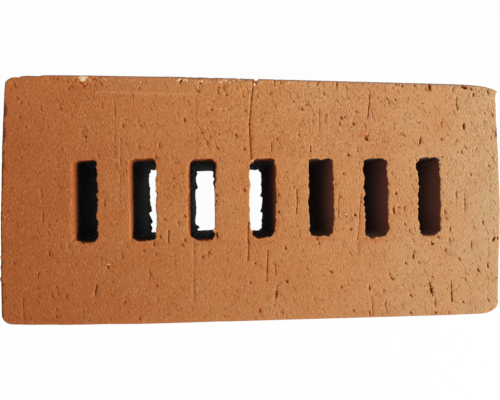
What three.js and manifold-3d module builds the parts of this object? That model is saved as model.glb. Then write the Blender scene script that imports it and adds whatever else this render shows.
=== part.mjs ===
// A slotted facing brick of fired clay, lying on its bed.
//
// The clay column leaves the die along Z, so the outline and the row of slots run straight through the
// height, and the two bed faces are where a wire has cut the column. The brick is one solid.
//
// Units are millimetres. X runs along the length, Y across the width and +Z up the height. The origin is
// the middle of the lower bed face.

import * as THREE from "three";
import { mergeVertices } from "three/addons/utils/BufferGeometryUtils.js";
import Module from "manifold-3d";

// The column that leaves the die, and the length that the wire cuts from it.
const brickLength = 250;
const brickWidth = 120;
const brickHeight = 65;

// The upright corners. Each is an elliptical round, given by how far it runs along the length and along
// the width. The clay is soft as it leaves the die, so one corner has slumped into a long, low round.
const frontLeftCorner = { alongLength: 5, alongWidth: 4.5 };
const frontRightCorner = { alongLength: 8, alongWidth: 5 };
const backRightCorner = { alongLength: 17, alongWidth: 2.8 };
const backLeftCorner = { alongLength: 8, alongWidth: 4 };

// The arris, where a bed face turns into the sides.
const arrisRadius = 1.2;

// The slots, which the die's cores leave in the column.
const slotWidth = 12.5;
const slotLength = 39.2;
const slotCornerRadius = 2;
const slotMouthRadius = 0.8;
const webThickness = 16.5;

// How far each core stands off its even place along the row, from left to right, in a die that has worn.
const coreDrift = [0.9, -1.1, -1.4, -0.6, -0.3, -0.6, -1.3];

// How far the plate that carries the cores is turned in the die, in degrees, and how far it stands off the
// middle of the width.
const coreRowTurn = 0.7;
const coreRowOffset = 0.3;

// Facets: straight steps in each corner round and in each rounded edge.
const cornerSteps = 8;
const edgeSteps = 4;

// How far a slot's cutter stands out of the column at each end, and the least radius a round can shrink to.
const cutterOvershoot = 2;
const leastRadius = 0.05;

const firedClay = new THREE.MeshStandardMaterial({
  name: "fired_clay",
  color: 0xc07a48,
  roughness: 0.92,
  metalness: 0,
});

const wasm = await Module();
wasm.setup();

// The points of a rectangle with elliptical corners, counter-clockwise from its front right corner. Each
// point is moved in by inset, or out where inset is below zero.
function roundedRectangle(length, width, corners, inset) {
  const signs = [
    [1, -1, corners.frontRight],
    [1, 1, corners.backRight],
    [-1, 1, corners.backLeft],
    [-1, -1, corners.frontLeft],
  ];
  return signs.flatMap(([signX, signY, corner], quarter) => {
    const centreX = signX * (length / 2 - corner.alongLength);
    const centreY = signY * (width / 2 - corner.alongWidth);
    const radiusX = Math.max(corner.alongLength - inset, leastRadius);
    const radiusY = Math.max(corner.alongWidth - inset, leastRadius);
    const firstAngle = ((quarter - 1) * Math.PI) / 2;
    return Array.from({ length: cornerSteps + 1 }, (_, step) => {
      const angle = firstAngle + (step / cornerSteps) * (Math.PI / 2);
      return new THREE.Vector2(centreX + radiusX * Math.cos(angle), centreY + radiusY * Math.sin(angle));
    });
  });
}

// The steps of a quarter-round edge, from the face down: at each depth, how far the surface still lies
// from where the edge ends.
function quarterRound(radius) {
  return Array.from({ length: edgeSteps + 1 }, (_, step) => {
    const angle = (step / edgeSteps) * (Math.PI / 2);
    return { depth: radius * (1 - Math.cos(angle)), offset: radius * (1 - Math.sin(angle)) };
  });
}

// A closed solid through rings of points that lie one above the other, from the lowest up. Every ring has
// the same number of points, and the lowest and highest are capped.
function loft(rings) {
  const count = rings[0].points.length;
  const positions = rings.flatMap(({ points, z }) => points.flatMap((point) => [point.x, point.y, z]));
  const indices = [];
  for (let ring = 0; ring < rings.length - 1; ring++) {
    for (let i = 0; i < count; i++) {
      const below = ring * count;
      const next = (i + 1) % count;
      indices.push(below + i, below + next, below + count + next);
      indices.push(below + i, below + count + next, below + count + i);
    }
  }
  const topStart = (rings.length - 1) * count;
  for (const [a, b, c] of THREE.ShapeUtils.triangulateShape(rings[0].points, [])) {
    indices.push(a, c, b);
  }
  for (const [a, b, c] of THREE.ShapeUtils.triangulateShape(rings.at(-1).points, [])) {
    indices.push(topStart + a, topStart + b, topStart + c);
  }
  const geometry = new THREE.BufferGeometry();
  geometry.setAttribute("position", new THREE.Float32BufferAttribute(positions, 3));
  geometry.setIndex(indices);
  return geometry;
}

// The column between its two cuts, with an arris round each bed face.
function columnGeometry() {
  const corners = {
    frontLeft: frontLeftCorner,
    frontRight: frontRightCorner,
    backRight: backRightCorner,
    backLeft: backLeftCorner,
  };
  const ring = (z, inset) => ({ z, points: roundedRectangle(brickLength, brickWidth, corners, inset) });
  const edge = quarterRound(arrisRadius);
  return loft([
    ...edge.map(({ depth, offset }) => ring(depth, offset)),
    ...edge.map(({ depth, offset }) => ring(brickHeight - depth, offset)).reverse(),
  ]);
}

// The clay that one core keeps out of the column. Its mouths flare, so that each slot has a rounded rim.
function slotCutterGeometry() {
  const corner = { alongLength: slotCornerRadius, alongWidth: slotCornerRadius };
  const corners = { frontLeft: corner, frontRight: corner, backRight: corner, backLeft: corner };
  const ring = (z, outset) => ({ z, points: roundedRectangle(slotWidth, slotLength, corners, -outset) });
  const edge = quarterRound(slotMouthRadius);
  return loft([
    ring(-cutterOvershoot, slotMouthRadius),
    ...edge.map(({ depth, offset }) => ring(depth, offset)),
    ...edge.map(({ depth, offset }) => ring(brickHeight - depth, offset)).reverse(),
    ring(brickHeight + cutterOvershoot, slotMouthRadius),
  ]);
}

// Where each core stands in the die, seen from above.
function corePlaces() {
  const pitch = slotWidth + webThickness;
  const middle = (coreDrift.length - 1) / 2;
  const turn = THREE.MathUtils.degToRad(coreRowTurn);
  return coreDrift.map((drift, index) => {
    const along = (index - middle) * pitch + drift;
    return { x: along * Math.cos(turn), y: coreRowOffset + along * Math.sin(turn), turn };
  });
}

function toSolid(geometry) {
  const merged = mergeVertices(geometry);
  const mesh = new wasm.Mesh({
    numProp: 3,
    vertProperties: merged.attributes.position.array,
    triVerts: new Uint32Array(merged.index.array),
  });
  return new wasm.Manifold(mesh);
}

function toGeometry(solid) {
  const { vertProperties, triVerts } = solid.getMesh();
  const geometry = new THREE.BufferGeometry();
  geometry.setAttribute("position", new THREE.BufferAttribute(vertProperties, 3));
  geometry.setIndex(new THREE.BufferAttribute(triVerts, 1));
  geometry.computeVertexNormals();
  return geometry;
}

function buildBrick() {
  let clay = toSolid(columnGeometry());
  for (const { x, y, turn } of corePlaces()) {
    const cutter = slotCutterGeometry().rotateZ(turn).translate(x, y, 0);
    clay = clay.subtract(toSolid(cutter));
  }
  const brick = new THREE.Mesh(toGeometry(clay), firedClay);
  brick.name = "brick";
  return brick;
}

const part = new THREE.Group();
part.add(buildBrick());

export default part;
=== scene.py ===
import math
from functools import partialmethod

import bmesh
import bpy
import numpy as np
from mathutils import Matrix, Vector


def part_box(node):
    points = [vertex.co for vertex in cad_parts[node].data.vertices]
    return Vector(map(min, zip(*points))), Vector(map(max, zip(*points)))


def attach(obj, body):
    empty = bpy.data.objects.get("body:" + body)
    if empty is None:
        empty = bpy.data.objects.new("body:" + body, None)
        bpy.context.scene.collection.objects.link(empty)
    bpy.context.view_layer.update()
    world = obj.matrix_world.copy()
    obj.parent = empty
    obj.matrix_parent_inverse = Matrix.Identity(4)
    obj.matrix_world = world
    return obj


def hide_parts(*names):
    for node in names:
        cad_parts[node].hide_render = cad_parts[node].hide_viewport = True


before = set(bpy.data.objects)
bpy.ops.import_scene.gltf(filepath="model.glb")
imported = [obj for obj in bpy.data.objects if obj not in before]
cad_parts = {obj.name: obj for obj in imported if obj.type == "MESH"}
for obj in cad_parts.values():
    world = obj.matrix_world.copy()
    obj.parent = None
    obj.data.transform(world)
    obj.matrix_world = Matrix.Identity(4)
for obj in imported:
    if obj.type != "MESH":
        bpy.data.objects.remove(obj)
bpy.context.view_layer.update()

mm = 0.001
low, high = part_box("brick")
brickSize = high - low

slots = {  # what the die's cores leave in the clay
    "width": 12.5 * mm,
    "length": 39.2 * mm,
    "pitch": 29 * mm,
    "drift": [away * mm for away in (0.9, -1.1, -1.4, -0.6, -0.3, -0.6, -1.3)],
    "rowTurn": math.radians(0.7),
    "rowOffset": 0.3 * mm,
    "cornerRound": 2 * mm,
    "cornerSteps": 6,
    "mouthRound": 0.25 * mm,
    "mouthSteps": 3,
    "rowReach": 105 * mm,
}
column = {  # the outline of the clay column: how far each corner's round runs along and across
    "frontLeft": (5 * mm, 4.5 * mm),
    "frontRight": (8 * mm, 5 * mm),
    "backRight": (17 * mm, 2.8 * mm),
    "backLeft": (8 * mm, 4 * mm),
    "cornerSteps": 10,
    "arrisRound": 0.6 * mm,
    "arrisSteps": 4,
}
mesh = {
    "pitch": (0.4 * mm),
    "upperBedTriangles": 146000,
    "otherTriangles": 48000,
    "upperDepth": 4,
    "keptHollow": 0.15,
    "keptArrisShade": 0.1,
    "creaseAngle": math.radians(42),
}
alongRow = Vector((math.cos(slots["rowTurn"]), math.sin(slots["rowTurn"]), 0))
acrossRow = Vector((-alongRow.y, alongRow.x, 0))
rowMiddle = Vector((0, slots["rowOffset"], 0))
slotPlaces = [
    rowMiddle + alongRow * ((i - (len(slots["drift"]) - 1) / 2) * slots["pitch"] + drift)
    for i, drift in enumerate(slots["drift"])
]


def cutAlong(bm, point, normal):
    everything = bm.verts[:] + bm.edges[:] + bm.faces[:]
    bmesh.ops.bisect_plane(bm, geom=everything, dist=1e-7, plane_co=point, plane_no=normal)


def isLevel(face):
    return abs(face.normal.z) > 0.9


def slotAt(point):
    for place in slotPlaces:
        away = point - place
        if abs(away.dot(alongRow)) < slots["width"] / 2 and abs(away.dot(acrossRow)) < slots["length"] / 2:
            return place
    return None


def openSlots(bm):
    for end in (-1, 1):
        cutAlong(bm, rowMiddle + acrossRow * end * slots["length"] / 2, acrossRow)
    for place in slotPlaces:
        for side in (-1, 1):
            cutAlong(bm, place + alongRow * side * slots["width"] / 2, alongRow)
    lids = [f for f in bm.faces if isLevel(f) and slotAt(f.calc_center_median())]
    mouths = {}
    for lid in lids:
        place = slotAt(lid.calc_center_median())
        mouths.setdefault(tuple(place), []).extend(lid.edges)
    bmesh.ops.delete(bm, geom=lids, context="FACES_ONLY")
    walls = []
    for edges in mouths.values():
        walls += bmesh.ops.bridge_loops(bm, edges=edges)["edges"]
    roundEdges(bm, walls, slots["cornerRound"], slots["cornerSteps"])


def roundEdges(bm, edges, radius, segments):
    bmesh.ops.bevel(
        bm, geom=edges, offset=radius, offset_type="OFFSET", segments=segments,
        profile=0.5, affect="EDGES", material=-1, clamp_overlap=True,
    )


def roundCorners(bm):
    half = Vector((brickSize.x / 2, brickSize.y / 2))
    corners = {"frontLeft": (-1, -1), "frontRight": (1, -1), "backRight": (1, 1), "backLeft": (-1, 1)}
    for name, (signX, signY) in corners.items():
        along, across = column[name]
        corner = Vector((signX * half.x, signY * half.y))
        edges = [
            e for e in bm.edges
            if abs(e.verts[0].co.z - e.verts[1].co.z) > brickSize.z / 2
            and (e.verts[0].co.xy - corner).length < 0.1 * mm
        ]
        bmesh.ops.scale(bm, vec=(1 / along, 1 / across, 1), verts=bm.verts)  # an ellipse is a round here
        roundEdges(bm, edges, 1, column["cornerSteps"])
        bmesh.ops.scale(bm, vec=(along, across, 1), verts=bm.verts)


def rimEdges(bm, ofSlots):
    def isRim(e):
        return sorted(isLevel(f) for f in e.link_faces) == [False, True]

    def nearSlot(e):
        middle = (e.verts[0].co + e.verts[1].co) / 2
        across = abs((middle - rowMiddle).dot(acrossRow))
        return across < slots["length"] / 2 + mm and abs(middle.x) < slots["rowReach"]

    return [e for e in bm.edges if isRim(e) and nearSlot(e) == ofSlots]


def clayBlank():
    bm = bmesh.new()
    bmesh.ops.create_cube(bm, size=1)
    bmesh.ops.translate(bm, vec=(0, 0, 0.5), verts=bm.verts)
    bmesh.ops.scale(bm, vec=brickSize, verts=bm.verts)
    openSlots(bm)
    roundCorners(bm)
    roundEdges(bm, rimEdges(bm, False), column["arrisRound"], column["arrisSteps"])
    roundEdges(bm, rimEdges(bm, True), slots["mouthRound"], slots["mouthSteps"])
    bmesh.ops.recalc_face_normals(bm, faces=bm.faces)
    data = bpy.data.meshes.new("fired_brick")
    bm.to_mesh(data)
    bm.free()
    print("blank:", len(data.polygons), "faces")
    return data


def addObject(name, data):
    piece = bpy.data.objects.new(name, data)
    bpy.context.scene.collection.objects.link(piece)
    return piece


def applied(piece):
    depsgraph = bpy.context.evaluated_depsgraph_get()
    data = bpy.data.meshes.new_from_object(piece.evaluated_get(depsgraph))
    piece.modifiers.clear()
    piece.data = data
    return data


brick = addObject("fired_brick", clayBlank())
remesh = brick.modifiers.new("fine", "REMESH")
remesh.mode = "VOXEL"
remesh.voxel_size = mesh["pitch"]
applied(brick)
print("remeshed:", len(brick.data.polygons), "faces")

# From here to the material, lengths are in millimetres and points are rows of an array.
halfLength, halfWidth, height = brickSize.x / 2 / mm, brickSize.y / 2 / mm, brickSize.z / mm
rowAxes = np.array([alongRow.xy, acrossRow.xy])
rowOrigin = np.array(rowMiddle.xy) / mm
slotCentres = np.array([(place - rowMiddle).dot(alongRow) for place in slotPlaces]) / mm
slotHalf = np.array([slots["width"], slots["length"]]) / 2 / mm
slotCorner = slots["cornerRound"] / mm


def readVectors(items, name):
    flat = np.empty(len(items) * 3)
    items.foreach_get(name, flat)
    return flat.reshape(-1, 3)


# A smooth random field from -1 to 1: random values at the corners of a grid, blended in between.
def field(points, scale, seed):
    tableSize = 4096
    table = np.random.default_rng(seed).permutation(tableSize)
    cells = points / scale
    corner = np.floor(cells).astype(int)
    part = cells - corner
    part = part * part * (3 - 2 * part)
    total = np.zeros(len(points))
    for step in np.ndindex(*([2] * points.shape[1])):
        share = np.ones(len(points))
        code = np.zeros(len(points), int)
        for axis, one in enumerate(step):
            share *= part[:, axis] if one else 1 - part[:, axis]
            code = table[(code + corner[:, axis] + one) % tableSize]
        total += share * (code / ((tableSize - 1) / 2) - 1)
    return total


# Fields of several sizes, each with its share, and with seeds that follow one another.
def blended(points, sizes, seed):
    return sum(share * field(points, size, seed + n) for n, (size, share) in enumerate(sizes))


# A field and finer ones over it, each half as large as the last.
def layered(points, scale, seed, layers=3):
    return sum(field(points, scale / 2 ** n, seed + n) / 2 ** n for n in range(layers)) / 1.5


# From 0 at the start to 1 at the end, smooth at both.
def rise(value, start, end):
    part = np.clip((value - start) / (end - start), 0, 1)
    return part * part * (3 - 2 * part)


# The value at each place of a curve that is given by some of its places and their values.
def curved(curve, at):
    return np.interp(at, *np.array(sorted(curve.items())).T)


def turned(plan, angle):
    c, s = math.cos(angle), math.sin(angle)
    return np.column_stack([plan[:, 0] * c + plan[:, 1] * s, plan[:, 1] * c - plan[:, 0] * s])


# The rows of a plan that lie inside a box, found quickly by sorting once along the length.
def finder(plan):
    order = np.argsort(plan[:, 0])
    sortedX = plan[order, 0].copy()

    def within(lowX, highX, lowY, highY):
        start, end = np.searchsorted(sortedX, [lowX, highX])
        some = order[start:end]
        return some[(plan[some, 1] > lowY) & (plan[some, 1] < highY)]

    return within


# How far each side's ends lie further in than its middle, and the places along it where it has slumped.
outline = {
    "frontStretcher": (0.9, 0),
    "backStretcher": (0.8, 0),
    "leftHeader": (1, 2),
    "rightHeader": (1.8, 2.4),
    "leftIn": 0.3,
    "rightIn": 0.5,
    "reach": 16,
    "backSlump": {-122: 0.8, -118: 1.5, -117: 1.05, -116: 0.9, -113: 0.72, -108: 0.8, -105: 0.3,
        -97: 0.2, -85: 0.12, -69: 0.12, -58: 0.05, -50: 0, -46: -0.2, 98: 0, 104: 0, 109: 0.25, 116: 0.4},
    "frontSlump": {-122: 0.7, -118: 0.63, -112: 0.4, -102: 0.3, -96: 0.1, -85: 0.03, -74: 0.07,
        -63: -0.17, -46: -0.26, -34: -0.03, -23: 0.07, -12: -0.05, 96: 0, 101: 0.1, 108: 0.15, 114: 0.25,
        122: 0.8},
    "leftSlump": {-55: 0, -45: 0.1, -38.4: 0.12, -37.1: -0.6, -35.9: 0.14, -33.2: 0.18, -31.7: -0.12,
        -30.4: 0.2, -28: 0.22, -26.8: -0.12, -25.8: 0.24, -15: 0.2, -8.8: 0.15, -3.2: 0.26, -0.4: 0.39,
        8: 0.42, 11: 0.4, 20: 0.36, 25: 0.27, 28: 0.37, 36: 0.27, 44: 0.25, 50: 0.08},
    "rightSlump": {-57: -0.1, -55: -0.18, -51: 0.2, -47: 0.35, -33: 0.42, -26: 0.4, -22: 0.16,
        -17.5: 0.05, -14: 0.12, -8: -0.05, 0: 0.05, 3.5: 0.15, 12: 0.35, 16: 0.33, 20: 0.18, 25: 0.35,
        32: 0.5, 33: 0.34, 37: 0.28, 41: 0.5, 46: 0.24, 50: 0.05, 53: 0.25, 55.6: -0.5, 56.8: -1.3,
        57.6: -0.5, 58.5: 0},
    "wobble": 0.02,
    "wobbleSize": 9,
    "notches": [(-4, 1.4, 1.35), (-12.5, 0.9, 0.6)],  # in the upper back edge: place, half width and depth
    "notchHeight": 7,
    "seed": 71,
}


# How far in the outline lies at each point: along the length on the headers, across it on the stretchers.
def insets(plan, notched):
    x, y = plan[:, 0] / halfLength, plan[:, 1] / halfWidth

    def bow(ends, along):
        return np.where(along < 0, ends[0], ends[1]) * along ** 2

    left = outline["leftIn"] + bow(outline["leftHeader"], y) + curved(outline["leftSlump"], plan[:, 1])
    right = outline["rightIn"] + bow(outline["rightHeader"], y) + curved(outline["rightSlump"], plan[:, 1])
    front = bow(outline["frontStretcher"], x) + curved(outline["frontSlump"], plan[:, 0])
    back = bow(outline["backStretcher"], x) + curved(outline["backSlump"], plan[:, 0])
    for at, halfGap, deep in outline["notches"]:
        back += notched * deep * np.clip(1 - np.abs(plan[:, 0] - at) / halfGap, 0, 1)
    return np.maximum(np.where(x < 0, left, right), 0), np.maximum(np.where(y < 0, front, back), 0)


def bowSides(points):
    notchStart = height - outline["notchHeight"]
    notchEnd = height - outline["notchHeight"] / 3
    header, stretcher = insets(points, rise(points[:, 2], notchStart, notchEnd))
    around = np.column_stack([points[:, :2], points[:, 2] * 0.25])
    wobble = outline["wobble"] * (1 + layered(around, outline["wobbleSize"], outline["seed"], 2))
    nearHeader = rise(np.abs(points[:, 0]), halfLength - outline["reach"], halfLength)
    nearStretcher = rise(np.abs(points[:, 1]), halfWidth - outline["reach"], halfWidth)
    points[:, 0] -= np.sign(points[:, 0]) * nearHeader * (header + wobble)
    points[:, 1] -= np.sign(points[:, 1]) * nearStretcher * (stretcher + wobble)


# Where each point stands by its nearest slot: which slot, how far outside it, and which way is outwards.
def bySlot(plan):
    row = (plan - rowOrigin) @ rowAxes.T
    nearest = np.abs(row[:, :1] - slotCentres).argmin(axis=1)
    local = np.column_stack([row[:, 0] - slotCentres[nearest], row[:, 1]])
    over = np.abs(local) - slotHalf + slotCorner
    out = np.maximum(over, 0)
    away = np.hypot(out[:, 0], out[:, 1])
    distance = away + np.minimum(over.max(axis=1), 0) - slotCorner
    flat = np.zeros_like(out)
    flat[np.arange(len(flat)), over.argmax(axis=1)] = 1
    outwards = np.where(away[:, None] > 1e-6, out / np.maximum(away, 1e-6)[:, None], flat) * np.sign(local)
    return nearest, local, distance, outwards


# How the cores and the wire tear each slot's rims: places along the rim from its middle, and how far out.
upperTears = {
    (1, "left"): {18: -0.75, 0: -0.85, -14: -1.15, -18: -1.65},
    (1, "right"): {18: -1, 12: -0.9, 8: -0.7, 4: -0.6, 3: -1, 1: -0.4, -5: -0.6, -7: -1.2, -9: -0.5,
        -16: -0.6, -18: -0.8},
    (1, "top"): {-4: -1.2, -3: -0.2, 1: -0.1, 4: 0.2, 5: -0.3},
    (1, "bottom"): {-5: -1.4, -4: -0.8, -3: -0.4, -2: 0.2, 0: 0.5, 2: 0.4, 4: -0.1, 5: -1},
    (2, "left"): {18: 0.3, 8: 0.1, 0: 0.1, -6: -0.2, -14: -0.3, -18: -0.7},
    (2, "right"): {18: -0.3, 15: 0, 14: 0.5, 12: 0.1, 9: -0.2, 6: 0.1, 4: -0.2, 2: 0.1, -2: -0.1,
        -7: -0.2, -8: 0.1, -12: 0.1, -14: -0.5, -16: -0.7, -17: -0.2, -18: -0.5},
    (2, "top"): {-5: -0.15, -4: 0.65, 0: 0.85, 4: 1.05, 5: 0.75},
    (2, "bottom"): {-5: -1.2, -4: -0.6, -3: 0.1, 0: 0.2, 3: 0.1, 5: -0.6, 6: -1.6},
    (3, "left"): {17.6: 0.1, 16.5: 0.7, 12: 1.1, 7: 0.9, 4: 0.4, 2: 1.2, -3: 1.3, -12: 1.1, -15: 1,
        -18: 0.2},
    (3, "right"): {18: 0.08, 15: 0.58, 13: 0.18, 9: 0.08, 7: -0.52, 6: 0.08, 5: -0.62, 3: -0.22,
        -1: -0.72, -3: -0.22, -12: -0.52, -14: -0.92, -15: -1.72, -16: -1.22, -17: -0.42, -18: -0.82},
    (3, "top"): {-6: -0.8, -5: -0.1, -2: 0.4, 2: 0.4, 5: 0.6, 6: -0.5},
    (3, "bottom"): {-6: -2.4, -5: -0.5, -4: -0.4, -3: 0.2, -1: 0.4, 0: 0.1, 2: 0.4, 4: 0, 5: -0.6,
        6: -1.8},
    (4, "left"): {18: -1.1, 17: 0.2, 14: 0.3, 13: 0.8, 9: 0.6, 8: 0.1, 6: 0.05, 5: 0.2, 4: 0.8, 0: 1.2,
        -3: 1.2, -5: 0.7, -7: 0.8, -11: 0.9, -13: 0.3, -15: -0.1, -16: -0.9, -18: -0.8},
    (4, "right"): {18: -0.2, 17: -0.4, 16: 0.3, 8: 0.2, 0: 0.4, -2: 0.2, -5: -0.4, -7: -0.2, -9: -0.4,
        -11: -0.1, -13: -0.5, -16: -0.8, -18: -1.6},
    (4, "top"): {-6: -1.7, -5: -1.3, -4: -0.2, -3: 0.6, 5: 0.6, 6: -0.6},
    (4, "bottom"): {-6: -2.2, -5: -1.1, -4: -0.6, -3: -0.1, -2: -0.1, 0: -0.4, 2: -0.7, 4: -1.3,
        5: -2.1, 6: -2.6},
    (5, "left"): {18: -0.2, 6: 0, 4: -0.1, 3: -0.5, 2: -0.5, 1: 0.3, -1: 0.6, -2: 0.5, -4: 0, -7: 0.1,
        -14: -0.2, -15: 0.3, -16: -0.1, -18: -0.6},
    (5, "right"): {18: -0.1, 13: 0.2, 10: 0.2, 8: -0.3, 6: 0.1, 4: 0.3, -2: 0.2, -3: -0.1, -5: 0.2,
        -6: 0.5, -9: 0.4, -12: 0.3, -13: 0, -16: -0.3, -18: -1.2},
    (5, "top"): {-5: 0.25, -2: 0.35, -1: -0.05, 0: -0.35, 1: -0.25, 2: 0.15, 4: 0.45, 5: 0.05},
    (5, "bottom"): {-5: -0.9, -4: -0.6, -1: -0.2, 0: -0.4, 1: -1, 2: -0.5, 4: -0.5, 5: -1.5},
    (6, "left"): {18: 0.4, 12: 0.4, 10: -0.2, 8: 0.1, 6: 0.6, 5: 0.6, 4: -0.3, 3: -0.7, 1: -0.4, 0: 0.2,
        -4: 0.3, -5: -0.1, -8: -0.5, -10: -0.1, -12: -0.5, -14: -0.4, -17: -0.2, -18: -0.5},
    (6, "right"): {18: -0.3, 16: -0.7, 14: -0.8, 12: -0.4, 10: -0.1, 9: 0.2, 4: 0.1, -3: 0, -6: -0.2,
        -11: 0, -12: -0.5, -13: -0.2, -16: 0.4, -17: -0.1, -18: -0.5},
    (6, "top"): {-6: -0.95, -5: -0.35, -3: 0.25, 3: 0.35, 4: 0.05, 5: -0.45},
    (6, "bottom"): {-5: 0.1, -4: 0.9, -3: 1.6, -2: 1.1, 1: 0.8, 2: 0.4, 3: 0.4, 5: -0.4, 6: -1.7},
    (7, "left"): {18: -0.2, 17: 0.5, 16: 0.8, 14: 0.4, 13: -0.2, 12: -0.5, 10: -0.2, 8: -0.6, 7: -0.3,
        5: -0.8, 3: -0.7, 2: -0.1, 1: 0, -1: -0.4, -3: 0, -5: -0.5, -6: 0, -10: 0.2, -12: -0.4, -14: -0.6,
        -16: -0.4, -18: -1.3},
    (7, "right"): {18: -0.9, 14: -0.4, 13: -0.8, 11: -0.6, 10: -0.1, 8: 0, 3: -0.3, 0: -0.3, -12: -0.3,
        -16: -0.5, -18: -1.2},
    (7, "top"): {-6: -1.25, -5: 0.25, -4: 0.65, -2: 0.85, 0: 0.75, 3: 0.85, 4: 0.75, 5: 0.05},
    (7, "bottom"): {-5: -1.1, -4: 0.3, -2: 0.4, 2: 0.2, 3: -0.6, 4: -0.8, 5: -1.6},
}
lowerTears = {
    (3, "top"): {-6: -0.6, 6: -0.3},
    (4, "top"): {-6: 0, 6: 0},
    (2, "left"): {19: -0.9, 18: -0.4, 17.5: -0.25, 13: -0.35, 9.9: -0.4, 9: -0.75, 7.9: -0.55,
        5.3: -0.3, 4: -0.65, 1.5: -0.45, 0: -0.75, -2.2: -1, -3.5: -1.45, -4.7: -1.4, -6.2: -1.9, -7.2: 0,
        -9: -0.4, -13: -1.9, -14.5: -0.8, -17.5: -1.5, -18.4: -2.1},
    (3, "left"): {19: -2.2, 15: -0.9, 12: -0.9, 8.5: -1.9, 6.8: -0.5, 3: -0.4, -5: -0.9, -9: -0.6,
        -13: -0.2, -15: -0.5, -16.5: -2.3},
    (3, "right"): {19: -0.3, 17.7: -0.6, 15.2: -0.7, 14: 0.4, 12.7: -0.5, 11.4: -0.7, 10: -0.4, 9: 0.1,
        7.6: -0.1, 5: 0.6, 1: 0.5, -1: 0.1, -3: 0.8, -9: 0.3, -17: 0.1},
    (4, "right"): {19: -0.3, 18: 0.5, 12: 0.8, 10: 0.5, 8.6: 1, 6.5: 0.75, 5: 0.8, 2.6: -0.15, 1.4: 2.2,
        -1.3: 1.9, -2.6: 1.1, -5: 0.4, -6.3: 0, -7.7: -0.4, -8.6: 1.7, -11: 0.97, -13.4: 0.3, -15: 0.6,
        -16.2: 0.5, -17.8: 0.5, -18.6: -0.7},
    (3, "bottom"): {-6: -0.5, 6: -0.9},
}
rims = {
    "coarse": 0.45,
    "coarseSize": 5.5,
    "calm": {(1, "left"): 0.3, (2, "left"): 0.3},  # rims that keep only a part of the coarse tears
    "fine": {
        "left": [0.04, 0.06, 0.3, 0.3, 0.3, 0.4, 0.3],
        "right": [0.42, 0.36, 0.42, 0.25, 0.3, 0.3, 0.3],
        "bottom": [0.35, 0.35, 0.3, 0.3, 0.35, 0.35, 0.35],
        "top": [0.2, 0.2, 0.2, 0.2, 0.2, 0.2, 0.2],
    },
    "fineSizes": (1.3, 0.8),
    "lowerFine": [0.3, 0.3, 0.06, 0.3, 0.3, 0.3, 0.3],
    "lowerBed": 1.3,
    "depth": 4,
    "reach": 2.2,
    "round": [0.45, 0.4, 0.15, 0.15, 0, 0, 0],
    "square": [  # how far each corner is torn square: top left, top right, bottom left, bottom right
        (0, 0.8, -0.6, 0), (0.5, 0.1, 0, 0.5), (0.3, -0.2, 0, 0.4), (0, 1.1, 0, 0.9), (0.6, 0.2, 0.6, 0.6),
        (0.5, 0.7, 0.6, 0.5), (0, 0.4, 1.3, 0.6),
    ],
    "seed": 40,
}


def tearRims(points):
    nearest, local, distance, outwards = bySlot(points[:, :2])
    near = np.abs(distance) < 3.5 * rims["reach"]
    p, slot, away, out, side = points[near], nearest[near], distance[near], outwards[near], local[near]
    depth = np.minimum(p[:, 2], height - p[:, 2])
    isLower = p[:, 2] < height / 2
    strength = np.exp(-depth / rims["depth"]) * np.exp(-np.maximum(np.abs(away) - 0.3, 0) / rims["reach"])
    onRim = np.column_stack([p[:, :2] - away[:, None] * (out @ rowAxes), p[:, 2] * 0.35 + slot * 50])
    coarse = rims["coarse"] * np.tanh(2.2 * layered(onRim, rims["coarseSize"], rims["seed"], 2))
    fine, finest = (field(onRim, size, rims["seed"] + 7 + 2 * n) for n, size in enumerate(rims["fineSizes"]))
    fine = np.tanh(1.8 * fine) + 0.5 * finest
    push = np.zeros(len(p))
    for sideName, axis, sign in (("left", 0, -1), ("right", 0, 1), ("bottom", 1, -1), ("top", 1, 1)):
        share = np.maximum(out[:, axis] * sign, 0) ** 2
        for number in range(1, len(slotCentres) + 1):
            some = (slot == number - 1) & (share > 0)
            rim = number, sideName
            tear = coarse[some] * rims["calm"].get(rim, 1)
            for tears, chosen in ((upperTears, ~isLower[some]), (lowerTears, isLower[some])):
                if rim in tears:
                    tear = np.where(chosen, curved(tears[rim], side[some, 1 - axis]), tear)
            teeth = rims["fine"][sideName][number - 1]
            tear = tear + fine[some] * np.where(isLower[some], rims["lowerFine"][number - 1], teeth)
            push[some] += share[some] * tear
    corner = 2 * (side[:, 1] < 0) + (side[:, 0] > 0)
    square = np.array(rims["square"])[slot, corner] * slots["cornerRound"] / mm
    push += ~isLower * square * (1 / np.abs(out).max(axis=1) - 1)
    push *= strength * np.where(isLower, rims["lowerBed"], 1)
    points[near, :2] += push[:, None] * (out @ rowAxes)


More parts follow.
